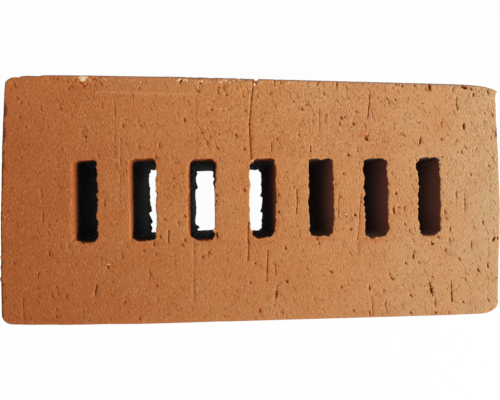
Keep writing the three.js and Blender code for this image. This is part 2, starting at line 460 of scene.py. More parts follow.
beds = {
    "below": 0.12,
    "swell": 0.16,
    "swellSize": 38,
    "reach": 3,
    "grooveShift": -0.24,
    "grooveLeft": 0.65,
    "grooveRight": 1.2,
    "grooveDepth": 0.7,
    "grooveWidth": 0.8,
    "rough": 0.35,
    "roughSize": 1.1,
    "gapSize": 2.4,
    "darkAt": 0.8,
    "linesBelow": 26,
    "lineRun": (2, 14),
    "seed": 11,
}
scoreLines = [  # grit dragged by the wire: half width, depth, how broken up it is, and the points along it
    (0.75, 0.66, 0, [(-5.5, 56), (-6.4, 48)]), (0.7, 0.62, 0, [(-6.4, 48), (-7.3, 38)]),
    (0.65, 0.66, 0, [(-7.3, 38), (-7.1, 31.5), (-6.6, 22), (-6.2, 18.5)]),
    (0.55, 0.68, 0.2, [(-7.9, -11), (-8, -20), (-7.8, -24), (-8.2, -30)]),
    (0.4, 0.2, 0.3, [(-33.5, 56), (-33.5, 20.3)]),
    (0.4, 0.35, 0.2, [(-34.5, -20), (-34.5, -34), (-35, -35), (-34.6, -37), (-34.5, -49), (-34, -50.5)]),
    (0.4, 0.35, 0.7, [(-72.3, 46.5), (-72.3, 21)]), (0.35, 0.3, 0.5, [(-69.6, 33), (-69.8, -2)]),
    (0.5, 0.7, 0, [(1.9, -25.2), (1.5, -32), (1.3, -40.3)]),
    (0.5, 0.6, 0, [(4.5, -31), (5.7, -33.5), (5.5, -37.7)]),
    (0.5, 0.7, 0.1, [(16.4, 5), (16.7, -1), (16.3, -7)]), (0.45, 0.48, 0, [(3.7, 28.5), (3.7, 24.2)]),
    (0.5, 0.9, 0, [(23.6, 27), (23.6, 23.8)]), (0.35, 0.38, 0.4, [(28.1, 45), (28.1, 34)]),
    (0.45, 0.4, 0, [(31.1, 42.8), (31.1, 38.8)]), (0.35, 0.4, 0, [(-22.8, 56), (-22.8, 51.5)]),
    (0.35, 0.5, 0, [(-10.3, 53.7), (-10.3, 50.8)]), (0.35, 0.25, 0.5, [(55, 58), (54.4, 53.8)]),
    (0.5, 0.65, 0.1, [(54.4, 53.8), (53.8, 46), (53.4, 42.2)]),
    (0.4, 0.45, 0, [(54.8, 45.2), (55.6, 44.2), (55.7, 42.2)]), (0.4, 0.45, 0, [(64.5, 51), (64.5, 48)]),
    (0.4, 0.6, 0.2, [(101.3, 53.2), (101, 51.2)]),
    (0.55, 0.68, 0, [(100.9, 50), (101.3, 48.4), (101.7, 46.3)]),
    (0.45, 0.5, 0.4, [(49.7, 3), (49, -4), (48.5, -11), (48, -17), (47.5, -21), (48.3, -28)]),
    (0.35, 0.3, 0.4, [(48.3, 19), (48.3, 15.5)]), (0.35, 0.3, 0.5, [(42, 58), (42, 50)]),
    (0.4, 0.45, 0.5, [(105, 4), (105.2, -6)]), (0.45, 0.5, 0.1, [(97.4, -42.4), (97.5, -48)]),
    (0.55, 0.9, 0, [(97.5, -48), (97.8, -52.6)]),
    (0.4, 0.4, 0.1, [(54.5, -49.5), (55.2, -52), (55.5, -59.5)]),
    (0.4, 0.5, 0, [(62, -52.5), (62.4, -57.3)]), (0.4, 0.4, 0.2, [(-114, -46), (-113.6, -58.3)]),
    (0.3, 0.2, 0, [(-86.6, -52.5), (-86.6, -58.2)]),
    (0.35, 0.4, 0, [(-71, -24), (-69, -24.3), (-68.7, -28.5)]),
    (0.5, 0.85, 0, [(-46.7, -15.2), (-46.6, -17), (-46.9, -19), (-46.7, -21)]),
    (0.45, 0.6, 0, [(-105.2, -5.5), (-105.3, -8), (-105.2, -10.6)]),
    (0.4, 0.45, 0.6, [(-106.3, 5), (-105.6, -2)]), (0.35, 0.35, 0.3, [(-52.2, -46.5), (-51.9, -50)]),
    (0.35, 0.35, 0, [(-97.7, -20.8), (-97, -23.3)]), (0.35, 0.35, 0.2, [(38, 3), (37.6, -3), (37.5, -9)]),
    (0.45, 0.7, 0, [(-88.5, 56.2), (-86.5, 53.9), (-85, 55.3)]),
    (0.3, 0.3, 0, [(-42.7, 42.5), (-41.5, 40)]),
]
namedPits = {  # by their lean in degrees: place, length and width
    -90: [(-117, 0.1, 1, 0.7), (37, 58, 2, 0.8), (8.5, 58, 1.8, 0.7), (-118.3, -29.9, 1.1, 0.8),
        (-122.2, -45.3, 1.1, 0.9), (88.5, -52.7, 3, 0.8), (95.8, -58.6, 1.8, 0.7)],
    -88: [(-51.2, 26.3, 2.4, 0.7), (-26.7, 30.5, 2.2, 0.6), (-28, 28, 2.2, 0.6)],
    -87: [(104.8, 37.8, 2.8, 1.3)],
    -85: [(118.3, 56.3, 1.9, 0.8), (100.3, 2.2, 2.4, 0.7), (72.3, -4.6, 2.4, 0.7),
        (117.5, -34.9, 2.2, 1), (94, -6.2, 2.2, 0.8), (97, -15.6, 2, 0.8), (114.9, -12, 1.8, 0.8)],
    -80: [(-39.2, 39, 1.8, 0.9), (86.2, 58, 2.2, 1.5), (65.8, 13.4, 2.2, 0.7), (66.7, -5.8, 2.8, 1.1),
        (-94.6, -45.7, 1.4, 0.9), (-107.2, -35.3, 1.1, 0.9), (-75.4, -32.4, 1.3, 1),
        (-102.4, -25.6, 1.5, 1), (-23.5, -17.6, 2.4, 1.2), (-23.8, 2.2, 1.6, 0.9), (-23.9, -1, 1.6, 0.8),
        (-2.5, -55, 2, 1), (8.9, -56, 2.6, 0.7), (53.6, -45, 1.3, 1), (96.5, -21, 1.8, 0.8),
        (74.9, -16.3, 2.2, 0.7)],
    -75: [(-100.9, -45.8, 2.2, 0.8), (25.2, -50, 2.6, 0.6), (53.6, -57.5, 2.6, 0.8),
        (86.4, -47, 3, 1.6)],
    -70: [(-116, 38.8, 1.1, 0.8), (-68.4, 35.2, 1.4, 1), (7.1, 2, 1.3, 0.9), (-99, -41.4, 1.5, 0.9),
        (-98.4, -44, 2.4, 0.7), (-55.7, -36, 2.2, 0.8), (-50.8, -18, 2, 0.9), (10.5, -24.3, 2, 0.9),
        (64.4, -38.3, 2, 0.7), (112.1, -37, 1.5, 1.2), (-93.7, 52.7, 1.4, 0.6), (88.6, -58.4, 1.5, 1)],
    -65: [(-102.6, -12.2, 1.8, 0.7), (85.5, -43.8, 2.8, 0.8)],
    -62: [(120.6, 44.6, 2.4, 0.7)],
    -60: [(-118.4, 54, 2, 0.7), (-117, 47.6, 1.1, 0.8), (-115.3, 45.8, 1, 0.7), (-97.7, 43.8, 1.2, 0.8),
        (-106.3, 42.7, 1.1, 0.8), (-85.9, 30, 1.8, 1.1), (-87, 32.2, 1.8, 0.6), (-66.9, 38.5, 1, 0.7),
        (-61.2, 37.8, 1, 0.7), (-60.2, 35.7, 1.3, 0.8), (-60.9, 25.3, 1.1, 0.7), (-52.9, 20.3, 1.3, 0.9),
        (-80, 21.3, 1.1, 0.7), (-112.7, 9.3, 1, 0.7), (-119.8, 5.3, 1, 0.7), (-99, 57, 1.2, 0.8),
        (-64, 53.5, 1.2, 0.5), (-60.5, 56.8, 1, 0.7), (-25.9, 44, 1.1, 0.8), (-20.3, 43.7, 1, 0.7),
        (-17.6, 44, 1, 0.7), (-9.5, 43.8, 2, 0.7), (-30.6, 32.6, 1.2, 0.8), (-23.3, 25.3, 1.4, 1),
        (-14, 31.8, 1.4, 1), (-9.9, 24.9, 1.4, 1), (-26.6, 37.7, 1, 0.7), (-44.6, 10.3, 1.1, 0.8),
        (-43.4, 18.3, 1, 0.7), (-15.6, 5.6, 1.1, 0.8), (-10, 4.5, 1.4, 1), (-20.2, 55, 1.1, 0.8),
        (-18.7, 51.5, 1.1, 0.8), (3, 52.7, 1.8, 0.7), (-3.4, 51.2, 1.1, 0.7), (14.9, 49, 1.1, 0.8),
        (21.3, 47.5, 1.2, 0.8), (19.1, 45.3, 1.5, 1), (16.9, 51, 1.1, 0.7), (30.4, 53.3, 2.2, 0.7),
        (39.4, 41.3, 1.5, 1.1), (41, 41.5, 1.1, 0.7), (38.3, 38.3, 1.2, 0.8), (45.6, 38.3, 1.5, 1.1),
        (46.8, 44.8, 1.1, 0.7), (52.2, 31, 2, 1.5), (42.9, 22.5, 1.6, 1.1), (6.4, 29.9, 1.5, 0.7),
        (17.3, 32.5, 1.1, 0.7), (18, 21.5, 1.1, 0.7), (40.5, 12.8, 1.1, 0.8), (36.2, 7.7, 1.1, 0.8),
        (38.3, 1.3, 1.5, 0.8), (7.1, -6.3, 1.4, 1), (14.8, 6.3, 1.1, 0.7), (47.5, 24.5, 1.1, 0.7),
        (63.3, 51.5, 1.1, 0.7), (67.8, 51, 1.1, 0.8), (71.8, 58, 1.4, 1), (78, 58.5, 1.4, 0.9),
        (68.2, 59, 1.3, 0.9), (109, 57.5, 1.3, 0.9), (116.3, 45, 1.3, 0.7), (75.7, 12, 1.2, 0.8),
        (72, 33, 1.1, 0.7), (67, 38.5, 1.1, 0.7), (80.7, 39.5, 1.1, 0.8), (92.6, 39.5, 1.2, 0.8),
        (92.5, 31, 1.1, 0.8), (100.8, 30.3, 1.2, 0.8), (103.5, 24.5, 2.2, 0.8), (101.3, 24.5, 1.1, 0.7),
        (111.8, 26.3, 1.2, 0.8), (105.5, 27, 2.2, 0.7), (118.5, 17.5, 1.2, 0.8), (120.7, 21.7, 1.1, 0.7),
        (108.5, 13, 1.1, 0.8), (92.8, 22, 1.1, 0.8), (68, 3, 1.4, 1), (79, 20, 1.1, 0.8),
        (82.3, 49.5, 1.2, 0.8), (-99.1, -55, 1.3, 1), (-99, -52, 1.6, 0.8), (-58.6, -24.9, 1.5, 0.9),
        (-39, -8, 1.3, 0.9), (-42.3, -11.3, 1.1, 0.8), (-40.4, -22, 1.6, 0.9), (-39, -19.8, 1.3, 0.9),
        (-52.8, -26.5, 1.5, 0.8), (-27.4, -26, 1.5, 1), (-30.4, -28.2, 1.5, 1), (33.6, -36.4, 1.5, 1),
        (39, -44.2, 1.3, 0.8), (27.6, -22.2, 1.5, 0.9), (26.6, -19.8, 1.5, 0.9), (21.4, -34.5, 2.2, 0.6),
        (105, -41.6, 1.3, 0.9), (94.8, -10, 1.3, 0.9), (94.4, -26.4, 1.6, 0.8), (-91, 57.1, 1.4, 0.6),
        (-81.7, 54.5, 1.2, 0.6), (7.6, 56.8, 1.6, 0.6), (75.3, -58.2, 1.3, 1)],
    -58: [(-77, -1.9, 2, 0.7)],
    -55: [(-93.4, -22.1, 1.6, 0.7), (5, -52.5, 1.5, 0.7), (45.2, -56.4, 2.2, 0.8),
        (101.9, -31.1, 1.8, 0.9), (72.6, -12.8, 2.2, 0.8)],
    -50: [(-60.7, -57.2, 1.3, 0.9), (-7, -41, 1.5, 0.9), (11.1, -40.9, 1.5, 1), (-4.6, -31.6, 1.3, 0.9),
        (44, -15.4, 1.4, 1), (46.3, -8, 1.5, 1.1), (86.6, -22, 1.5, 0.8), (90.3, -19.6, 1.4, 0.9),
        (72.8, -32.8, 1.3, 0.9), (79.7, -32.3, 1.1, 0.8), (-94.2, 56.1, 1.6, 0.6), (-92.4, 54.2, 1.8, 0.6),
        (-83, 57.8, 1.6, 0.6), (-84, 54.4, 1.3, 0.6), (-31.5, 56.8, 1.6, 1), (-20.2, 56.6, 1.8, 0.7),
        (103.6, -53.2, 1.8, 0.9), (117.6, -52.5, 1.5, 0.8)],
    -40: [(-107.2, -45.8, 1.1, 0.8), (-52.6, -41.5, 1.3, 0.9), (77.4, -26.8, 1.3, 0.8),
        (65.4, -40.4, 1.5, 1.1), (-5.7, 58.6, 1.6, 0.7), (-80.8, 56.9, 1.5, 0.6), (-16.2, 58.2, 2, 0.6),
        (75.4, -49.3, 1.4, 0.9)],
    -30: [(105, 58.1, 2.4, 1.8), (-48.7, -9.5, 1.5, 0.9), (-67.6, -49.2, 1.5, 0.9),
        (41.7, -8.6, 1.5, 0.8), (87, -40, 1.3, 0.9), (-32.5, 53.1, 1.4, 1), (61.1, -46.4, 1.3, 0.9)],
    -20: [(122.1, -41.2, 1.4, 0.8)],
    -13: [(-13.7, 58.5, 2.8, 0.7)],
    0: [(-82, 57.7, 1.3, 0.8), (-4.5, 58.2, 1.1, 0.8)],
    20: [(69.2, -4.2, 1.2, 0.8), (87.2, -23, 1.4, 1.2)],
    50: [(6.4, -42.7, 1.1, 0.7)],
    55: [(-93.5, 53, 1.6, 0.6), (27, 58, 1.8, 0.8)],
    60: [(-61, 53.3, 1.5, 0.55), (120.8, -21, 1.8, 1.3), (-79.4, 58.4, 1.4, 0.6)],
    62: [(-41, 57.4, 2, 1), (99, 57, 2.3, 0.7)],
    65: [(53.1, 32.2, 1.6, 0.7)],
    80: [(80.9, 29.8, 3.2, 0.9), (-53.8, -21.6, 2, 0.9), (76.9, -29.2, 2.2, 1), (-5.8, 57.2, 1.7, 0.6),
        (-32.1, 54.6, 1.1, 0.5)],
    81: [(-80.9, -42.8, 4, 1.1)],
    82: [(5.9, -46.8, 3.4, 1.1)],
    84: [(110.2, 54.4, 2.2, 0.8)],
    85: [(-3.9, 57.5, 1.8, 0.6)],
    87: [(108.4, -23.8, 3, 0.7)],
    88: [(5.3, 58.4, 2.2, 0.7)],
    90: [(122.8, 34.4, 3, 1.2), (123, -20.6, 1.3, 0.9)],
}
pitting = {
    "strength": 0.95,
    "shift": (-0.15, 0.08),
    "longer": 1.3,
    "narrower": 0.8,
    "ragged": 0.45,
    "raggedSize": 0.6,
    "slope": 0.62,
    "darkAt": 0.42,
    "strewn": 200,
    "strewnAtLeft": 0.2,
    "strewnWidth": (0.45, 0.7),
    "strewnLonger": (2, 4),
    "strewnLean": (-66, 10),
    "strewnStrength": (0.2, 0.7),
    "seed": 5,
}
grains = [  # pale lumps: place, length, width, lean in degrees and strength. The first two are a stone
    (-87.2, 58.5, 4.8, 1.8, 1, 1), (-87.4, 57.4, 2.8, 2.2, 0, 1), (-5, 57, 1.7, 0.9, 80, 1),
    (-31, 57.9, 1, 0.8, -60, 1), (-33, 54.6, 1.1, 0.8, 0, 0.7), (-22, 57.8, 1.2, 0.8, 0, 1),
    (-13, 59, 1.2, 0.8, 0, 1), (-26.5, 57.7, 1, 0.7, 0, 0.8), (73.8, 14, 0.9, 0.7, 0, 0.9),
    (57.8, -19.5, 1.4, 0.9, 0, 1), (-75.2, -31, 1.3, 0.8, 0, 0.9), (41.4, -7.7, 1.1, 0.9, 0, 0.8),
    (-6.3, 19.3, 1.5, 1, 45, 0.9), (-52.1, 26.4, 2.4, 0.5, 88, 0.6), (86, 24, 0.9, 0.6, 0, 0.6),
    (-24.8, -15.2, 1.3, 0.9, 30, 0.8), (-6.6, 6.4, 1.6, 0.8, 80, 0.8), (61, -19, 1.2, 0.6, 0, 0.9),
    (18.4, 44.6, 1.3, 0.8, -60, 0.5), (-122.4, 6.2, 1, 0.7, 0, 0.5), (-122.2, -8, 1, 0.7, 0, 0.6),
    (-56, 51.5, 48, 1.6, 0, 0.42), (-16, -1, 9, 36, 0, 0.05), (-38.4, 58.6, 1.6, 0.8, 0, 0.7),
    (-41.6, 58.8, 1, 0.7, 0, 0.7), (-60.5, 56.6, 2, 0.7, 80, 0.7), (-95.4, 57.6, 1.6, 0.6, -50, 0.6),
    (-93, 55.4, 1.5, 0.5, -40, 0.55), (-83.7, 56.6, 1.6, 0.6, -50, 0.6), (-82.2, 58.7, 1.6, 0.6, -40, 0.6),
    (-78.7, 57.2, 1.5, 0.5, -50, 0.55), (-77.3, 58, 1.8, 0.6, -60, 0.6), (-33.1, 55.5, 2.4, 0.9, 85, 0.6),
    (-32.8, 57.8, 1.6, 0.6, 70, 0.5), (-1.1, 58.3, 2.2, 0.7, 30, 0.65), (2, 57.9, 1.6, 0.7, -40, 0.6),
    (5.5, 58.1, 1.8, 0.6, -60, 0.65), (8.5, 57.7, 1.6, 0.6, 50, 0.6), (11.6, 57.9, 2.4, 0.7, 30, 0.65),
    (14.6, 58.3, 2, 0.7, -30, 0.65), (-63, 54.8, 1.8, 0.7, -50, 0.5), (-65, 47, 1.5, 0.6, -60, 0.35),
]
grainHeight = 0.14
crumbling = {  # places along each edge of the upper bed, and how badly the edge crumbles there
    "back": {-125: 0.2, -106: 0.5, -92: 0.8, -80: 0.5, -50: 0.35, -42: 0.9, -12: 1, -2: 0.6, 30: 0.5,
        56: 0.6, 66: 0.5, 100: 0.6, 118: 0.2},
    "front": {-125: 0.1, 0: 0.1, 125: 0.2},
    "left": {-60: 0.1, -45: 0.2, -36: 0.4, 50: 0.4, 56: 0.2},
    "right": {-60: 0.1, 60: 0.2},
    "depth": 0.4,
    "reach": 2.2,
    "sizes": [(1.5, 1), (0.8, 0.6), (5, 0.5)],
    "dark": 0.25,
    # the pale flecks: painted highlights along the crest of the back edge and on the rims of the slots
    "pale": 0.8,
    "paleFromX": (-96, -90),
    "paleFromY": (50, 55),
    "flecks": (0.34, 0.6),
    "streakLean": math.radians(50),
    "streakStretch": (0.6, 1.3),
    "onRims": 0.55,
    "seed": 91,
}
fringes = {  # how far in the dark fringe of each arris goes, along the edge, and how dark it is; the fringe is painted shade on the rounded arris
    "back": {-125: 0.5, -60: 0.6, -30: 1, -12: 0.8, -10.5: 1.25, -5: 1.25, -3.5: 0.7, 0: 0.7, 60: 1.1,
        97.5: 1.2, 98.5: 1.7, 103.5: 1.7, 104.2: 2.2, 106: 2.2, 107: 1.1, 116.5: 1.2, 117.5: 2.4,
        119.5: 2.4, 120.5: 1},
    "front": {-125: 0.5, 125: 0.6},
    "left": {-58: 0.6, -50: 1.1, -41: 1.1, -39.6: 1.5, -38.5: 0.6, -37: 0.3, -35: 1.2, -33: 0.6,
        -29.5: 1.2, -27: 0.3, -24.5: 1.1, -21: 1.1, -19.2: 0.3, -17.5: 1.4, -15.5: 0.3, -13.5: 1.2,
        -11.5: 0.3, -9.8: 0.3, -8.3: 1.2, -7: 0.3, -6: 1.2, -5: 0.3, -3.2: 0.3, -2.2: 1.2, -1.2: 0.3,
        0.6: 0.9, 1.5: 0.3, 2.6: 0.9, 4.3: 0.6, 5.5: 0.9, 9: 1, 11: 1.2, 12.5: 0.8, 14.6: 1.4, 16.4: 1.5,
        17.4: 0.8, 19.3: 1.1, 20.3: 0.3, 21.5: 1.5, 23.2: 1.1, 24.5: 0.6, 26: 0.6, 27.5: 1.4, 29.5: 2,
        31.5: 2, 33: 1.2, 36: 0.9, 38.5: 0.8, 40.8: 2, 42.8: 2, 44.8: 1.2, 46: 0.4, 60: 0.3},
    "right": {-60: 0.45, 25: 0.45, 27: 1, 32.8: 1, 33.4: 1.8, 36: 1.8, 36.8: 1, 38: 1, 41: 0.45,
        60: 0.45},
    "dark": {"back": 0.75, "front": 0.35, "left": 0.9, "right": 0.5},
    "ragged": 0.35,
}
redder = [  # where the clay shows redder: place, length, width, lean in degrees and strength
    (-104, -1, 40, 40, 0, 0.25), (-100, -42, 60, 34, 0, 0.2), (-108, 40, 36, 30, 0, 0.25),
    (104, 38, 40, 28, 0, 0.14), (49, 38, 30, 28, 0, 0.14), (10, -38, 26, 28, 0, 0.16),
    (-86, -21.5, 11, 2, 0, 0.3), (-58.5, -21.3, 13, 2.2, 0, 0.5), (-28, -20.6, 14, 2, 0, 0.35),
    (-1, -20.8, 12, 2.2, 0, 0.5), (29, -19.9, 13, 2, 0, 0.5), (57.5, -20.6, 13, 2.2, 0, 0.5),
    (86, -19.6, 12, 2, 0, 0.35), (50.3, 32.5, 3, 3, 0, 0.9), (-6.6, 29, 18, 1.6, 88, 0.8),
    (-7, -16, 12, 2, 90, 0.6), (-53, -39.5, 4, 5, 0, 0.5), (-66, -52, 26, 7, 0, 0.45),
    (50, -11, 20, 1.8, 88, 0.4), (-117, 22, 60, 14, 90, 0.25), (119, -58, 3, 1.5, 0, 0.4),
    (6.5, -12, 20, 1.6, 90, 0.4), (64.4, -13, 9, 1.6, 95, 0.5), (-23.6, 0, 34, 1.3, 90, 0.45),
]
paler = [(112, 0, 26, 46, 0, 0.19), (-72, 60, 60, 14, 0, 0.08)]  # where it is paler still; the patch at the right end is partly a painted sheen


# Where each point stands in a spot that has an oval outline: 0 in its middle and 1 on its outline.
def inOval(plan, within, x, y, length, width, lean, reach):
    span = reach * max(length, width) / 2
    some = within(x - span, x + span, y - span, y + span)
    local = turned(plan[some] - (x, y), math.radians(lean))
    return some, np.hypot(local[:, 0] / (length / 2), local[:, 1] / (width / 2))


# How strongly the spots show at each point. They end at their reach, and fade over a part of it.
def spotted(plan, within, spots, reach, fade, scale=1):
    total = np.zeros(len(plan))
    for *spot, strength in spots:
        some, out = inOval(plan, within, *spot, reach)
        total[some] = np.maximum(total[some], strength * scale * rise(reach - out, 0, fade))
    return total


# How deep each point lies in the lines, and the painted shade in them, which lies on their right side only,
# where the wall turns away from the lamp. The points that are nearest to a line are moved onto it, so that
# its bed is sharp.
def scored(plan, within, lines, seed):
    depth = np.zeros(len(plan))
    paintedShade = np.zeros(len(plan))
    for halfGap, deep, broken, line in lines:
        line = np.array(line) + (beds["grooveShift"], 0)
        for a, b in zip(line, line[1:]):
            box = [f(u, v) + side for u, v in zip(a, b) for f, side in ((min, -1), (max, 1))]
            some = within(*box)
            way = b - a
            share = np.clip((plan[some] - a) @ way / (way @ way), 0, 1)
            nearest = a + share[:, None] * way
            away = np.linalg.norm(plan[some] - nearest, axis=1)
            away *= np.where(plan[some, 0] < nearest[:, 0], beds["grooveLeft"], beds["grooveRight"])
            onLine = away < mesh["pitch"] / mm / 2
            plan[some[onLine]] = nearest[onLine]
            away[onLine] = 0
            rough = 1 + beds["rough"] * field(plan[some], beds["roughSize"], seed)
            gaps = 1 - broken * rise(field(plan[some] * (0.3, 1), beds["gapSize"], seed + 1), -0.2, 0.3)
            across = np.clip(1 - away / (beds["grooveWidth"] * halfGap * rough), 0, 1)
            cut = beds["grooveDepth"] * deep * gaps * rough * across
            depth[some] = np.maximum(depth[some], cut)
            paintedShade[some] = np.maximum(paintedShade[some], cut * rise(plan[some, 0] - nearest[:, 0], -0.4, -0.1))
    return depth, paintedShade


# How deep each point lies in the pits, and the painted shade in them, on their right side, where the wall
# turns away from the lamp.
def pitted(plan, within, places):
    depth = np.zeros(len(plan))
    paintedShade = np.zeros(len(plan))
    shiftX, shiftY = pitting["shift"]
    for x, y, length, width, lean, strength in places:
        length, across = length * pitting["longer"], width * pitting["narrower"]
        some, out = inOval(plan, within, x + shiftX, y + shiftY, length, across, lean, 1.6)
        out *= 1 + pitting["ragged"] * field(plan[some], pitting["raggedSize"], pitting["seed"])
        deep = strength * pitting["slope"] * width * np.clip(1.25 - out, 0, 1) ** 0.6
        depth[some] = np.maximum(depth[some], deep)
        paintedShade[some] = np.maximum(paintedShade[some], deep * rise(plan[some, 0] - x, -0.9 * width, -0.2 * width))
    return depth, paintedShade


def strewnPits(seed):
    rng = np.random.default_rng(seed)
    places = []
    while len(places) < pitting["strewn"]:
        x, y = rng.uniform(-halfLength, halfLength), rng.uniform(-halfWidth, halfWidth)
        alongPart = (x / halfLength + 1) / 2
        if rng.random() > pitting["strewnAtLeft"] + (1 - pitting["strewnAtLeft"]) * alongPart:
            continue
        width = rng.uniform(*pitting["strewnWidth"])
        length = width * rng.uniform(*pitting["strewnLonger"])
        lean = rng.normal(*pitting["strewnLean"])
        places.append((x, y, length, width, lean, rng.uniform(*pitting["strewnStrength"]) ** 1.5))
    return places


def strewnLines(seed):
    rng = np.random.default_rng(seed)
    lines = []
    for _ in range(beds["linesBelow"]):
        x, y = rng.uniform(-115, 115), rng.uniform(-50, 50)
        run = rng.uniform(*beds["lineRun"])
        deep, broken = rng.uniform(0.3, 0.7), rng.uniform(0, 0.6)
        lines.append((0.4, deep, broken, [(x, y), (x + rng.normal(0, 0.4), y - run)]))
    return lines


# How far each point of a bed lies in from the nearest edge, how badly that edge crumbles, and how dark the
# painted shade along its arris is.
def byEdge(plan, isUpper):
    header, stretcher = insets(plan, isUpper)
    acrossIn = halfWidth - stretcher - np.abs(plan[:, 1])
    alongIn = halfLength - header - np.abs(plan[:, 0])
    sides = [
        (acrossIn, "back", 0, plan[:, 1] > 0), (acrossIn, "front", 0, plan[:, 1] < 0),
        (alongIn, "left", 1, plan[:, 0] < 0), (alongIn, "right", 1, plan[:, 0] > 0),
    ]
    distance = np.full(len(plan), np.inf)
    weakness = np.zeros(len(plan))
    fringe = np.zeros(len(plan))
    uneven = 1 + fringes["ragged"] * field(plan, 0.9, crumbling["seed"] + 5)
    for inwards, name, axis, here in sides:
        closer = here & (inwards < distance)
        distance = np.where(closer, inwards, distance)
        weakness = np.where(closer, curved(crumbling[name], plan[:, axis]), weakness)
        width = curved(fringes[name], plan[:, axis]) * uneven
        fringe = np.maximum(fringe, here * fringes["dark"][name] * rise(width - inwards, -0.25, 0.25))
    return distance, weakness, fringe, np.column_stack([alongIn, acrossIn])


def crumbled(plan, inwards, weakness):
    crumbs = blended(plan, crumbling["sizes"], crumbling["seed"])
    edge = np.clip(1 - (inwards - 0.6) / crumbling["reach"], 0, 1) * weakness
    return crumbling["depth"] * edge * rise(crumbs, 0.25, 0.7)


# How pale each point of a bed is with a painted highlight along the crumbled crest of the back edge.
def paintedCrestHighlight(plan, inwards, weakness):
    streaks = turned(plan, crumbling["streakLean"]) * crumbling["streakStretch"]
    flecks = field(streaks, 0.75, crumbling["seed"] + 7) + 0.4 * field(plan, 3, crumbling["seed"] + 8)
    pale = crumbling["pale"] * (0.4 + 0.6 * weakness) * rise(flecks, *crumbling["flecks"])
    pale *= rise(plan[:, 1], *crumbling["paleFromY"])
    pale *= rise(inwards, 0.7, 1.1) * rise(-inwards, -crumbling["reach"] - 1.5, -crumbling["reach"])
    return pale * rise(plan[:, 0], *crumbling["paleFromX"])


# Painted highlights along the crumbly lips of the slots' right and front rims.
def paintedRimHighlight(plan, away, outwards):
    onRim = rise(away, 0, 0.15) * rise(-away, -0.9, -0.5) * rise(-outwards[:, 1] + outwards[:, 0], 0.2, 0.6)
    flecks = blended(plan, [(0.6, 1), (3, 0.4)], crumbling["seed"] + 9)
    return crumbling["onRims"] * onRim * rise(flecks, 0.3, 0.6)


def wearBed(points, marks, isUpper):
    depth = height - points[:, 2] if isUpper else points[:, 2]
    near = depth < beds["reach"]
    plan = points[near, :2].copy()
    within = finder(plan)
    seed = beds["seed"] + (0 if isUpper else 100)
    lines = scoreLines if isUpper else strewnLines(seed)
    scores, paintedLineShade = scored(plan, within, lines, seed)
    places = strewnPits(pitting["seed"] + seed)
    for lean, pits in namedPits.items() if isUpper else []:
        places += [(*pit, lean, pitting["strength"]) for pit in pits]
    holes, paintedHoleShade = pitted(plan, within, places)
    inwards, weakness, fringe, beyond = byEdge(plan, isUpper)
    crumbs = crumbled(plan, inwards, weakness)
    # The crumbled chips get painted shade too.
    holes, paintedHoleShade = np.maximum(holes, crumbs), np.maximum(paintedHoleShade, crumbling["dark"] * crumbs)
    nearest, _, away, outwards = bySlot(plan)
    pale = np.maximum(paintedCrestHighlight(plan, inwards, weakness), paintedRimHighlight(plan, away, outwards))
    lump = np.zeros(len(plan))
    if isUpper:
        pale = np.maximum(pale, spotted(plan, within, grains, 1.2, 0.35))
        lump = spotted(plan, within, grains, 1.2, 0.8, grainHeight)
        red, bleached = (spotted(plan, within, spots, 2.2, 1.6) for spots in (redder, paler))
        marks["redness"][near] = red - bleached
    radius = np.array(rims["round"])[nearest] * rise(-outwards[:, 0], 0.4, 0.9) + 1e-6
    roundOff = radius - np.sqrt(np.maximum(radius ** 2 - np.clip(radius - away, 0, radius) ** 2, 0))
    bare = rise(1.2 * lump, grainHeight, 0.04)
    hole = np.maximum(scores, holes) * bare
    swell = beds["swell"] * (0.5 + 0.5 * layered(plan, beds["swellSize"], seed, 3))
    drop = beds["below"] + swell + hole + roundOff - lump
    points[near, 2] += (-drop if isUpper else drop) * (1 - depth[near] / beds["reach"])
    atSide = rise(-inwards, -1.4, -0.6) * rise(beds["reach"] - depth[near], 0, 2)
    push = (0.15 * hole * atSide)[:, None] * (inwards[:, None] == beyond)
    points[near, :2] = plan - np.sign(plan) * push
    paintedShade = np.maximum(paintedHoleShade / pitting["darkAt"], paintedLineShade / beds["darkAt"])
    marks["hollow"][near] = np.clip(paintedShade, 0, 1) * bare
    # painted shade along the arrises
    marks["paintedArrisShade"][near] = fringe * rise(-depth[near], -beds["reach"], -1)
    # pale grains and painted highlights
    marks["paleGrainAndHighlight"][near] = np.clip(pale, 0, 1)


# What the shape tells the material.
markNames = ("hollow", "inner", "paintedSlotShade", "deep", "paleGrainAndHighlight", "redness", "paintedArrisShade")
skin = {  # the sides: lines that the die draws along the height, and small tears
    "lineDepth": 0.12,
    "tearDepth": 0.35,
    "seed": 63,
}


def drawSkin(points, normals):
    upright = np.abs(normals[:, 2]) < 0.5
    outer = bySlot(points[:, :2])[2] > 4
    depth = np.minimum(points[:, 2], height - points[:, 2])
    some = upright & (depth > 0.5)
    p = points[some]
    drawn = p * (1, 1, 0.05)
    lines = rise(field(drawn, 1.6, skin["seed"]), 0.35, 0.8) + 0.6 * field(drawn, 6, skin["seed"] + 1)
    tears = rise(field(p * (1, 1, 0.7), 2.6, skin["seed"] + 2), 0.72, 0.9) * outer[some]
    cut = np.maximum(skin["lineDepth"] * lines + skin["tearDepth"] * tears, 0)
    points[some] -= normals[some] * (cut * rise(depth[some], 0.5, 3))[:, None]
    return some, tears


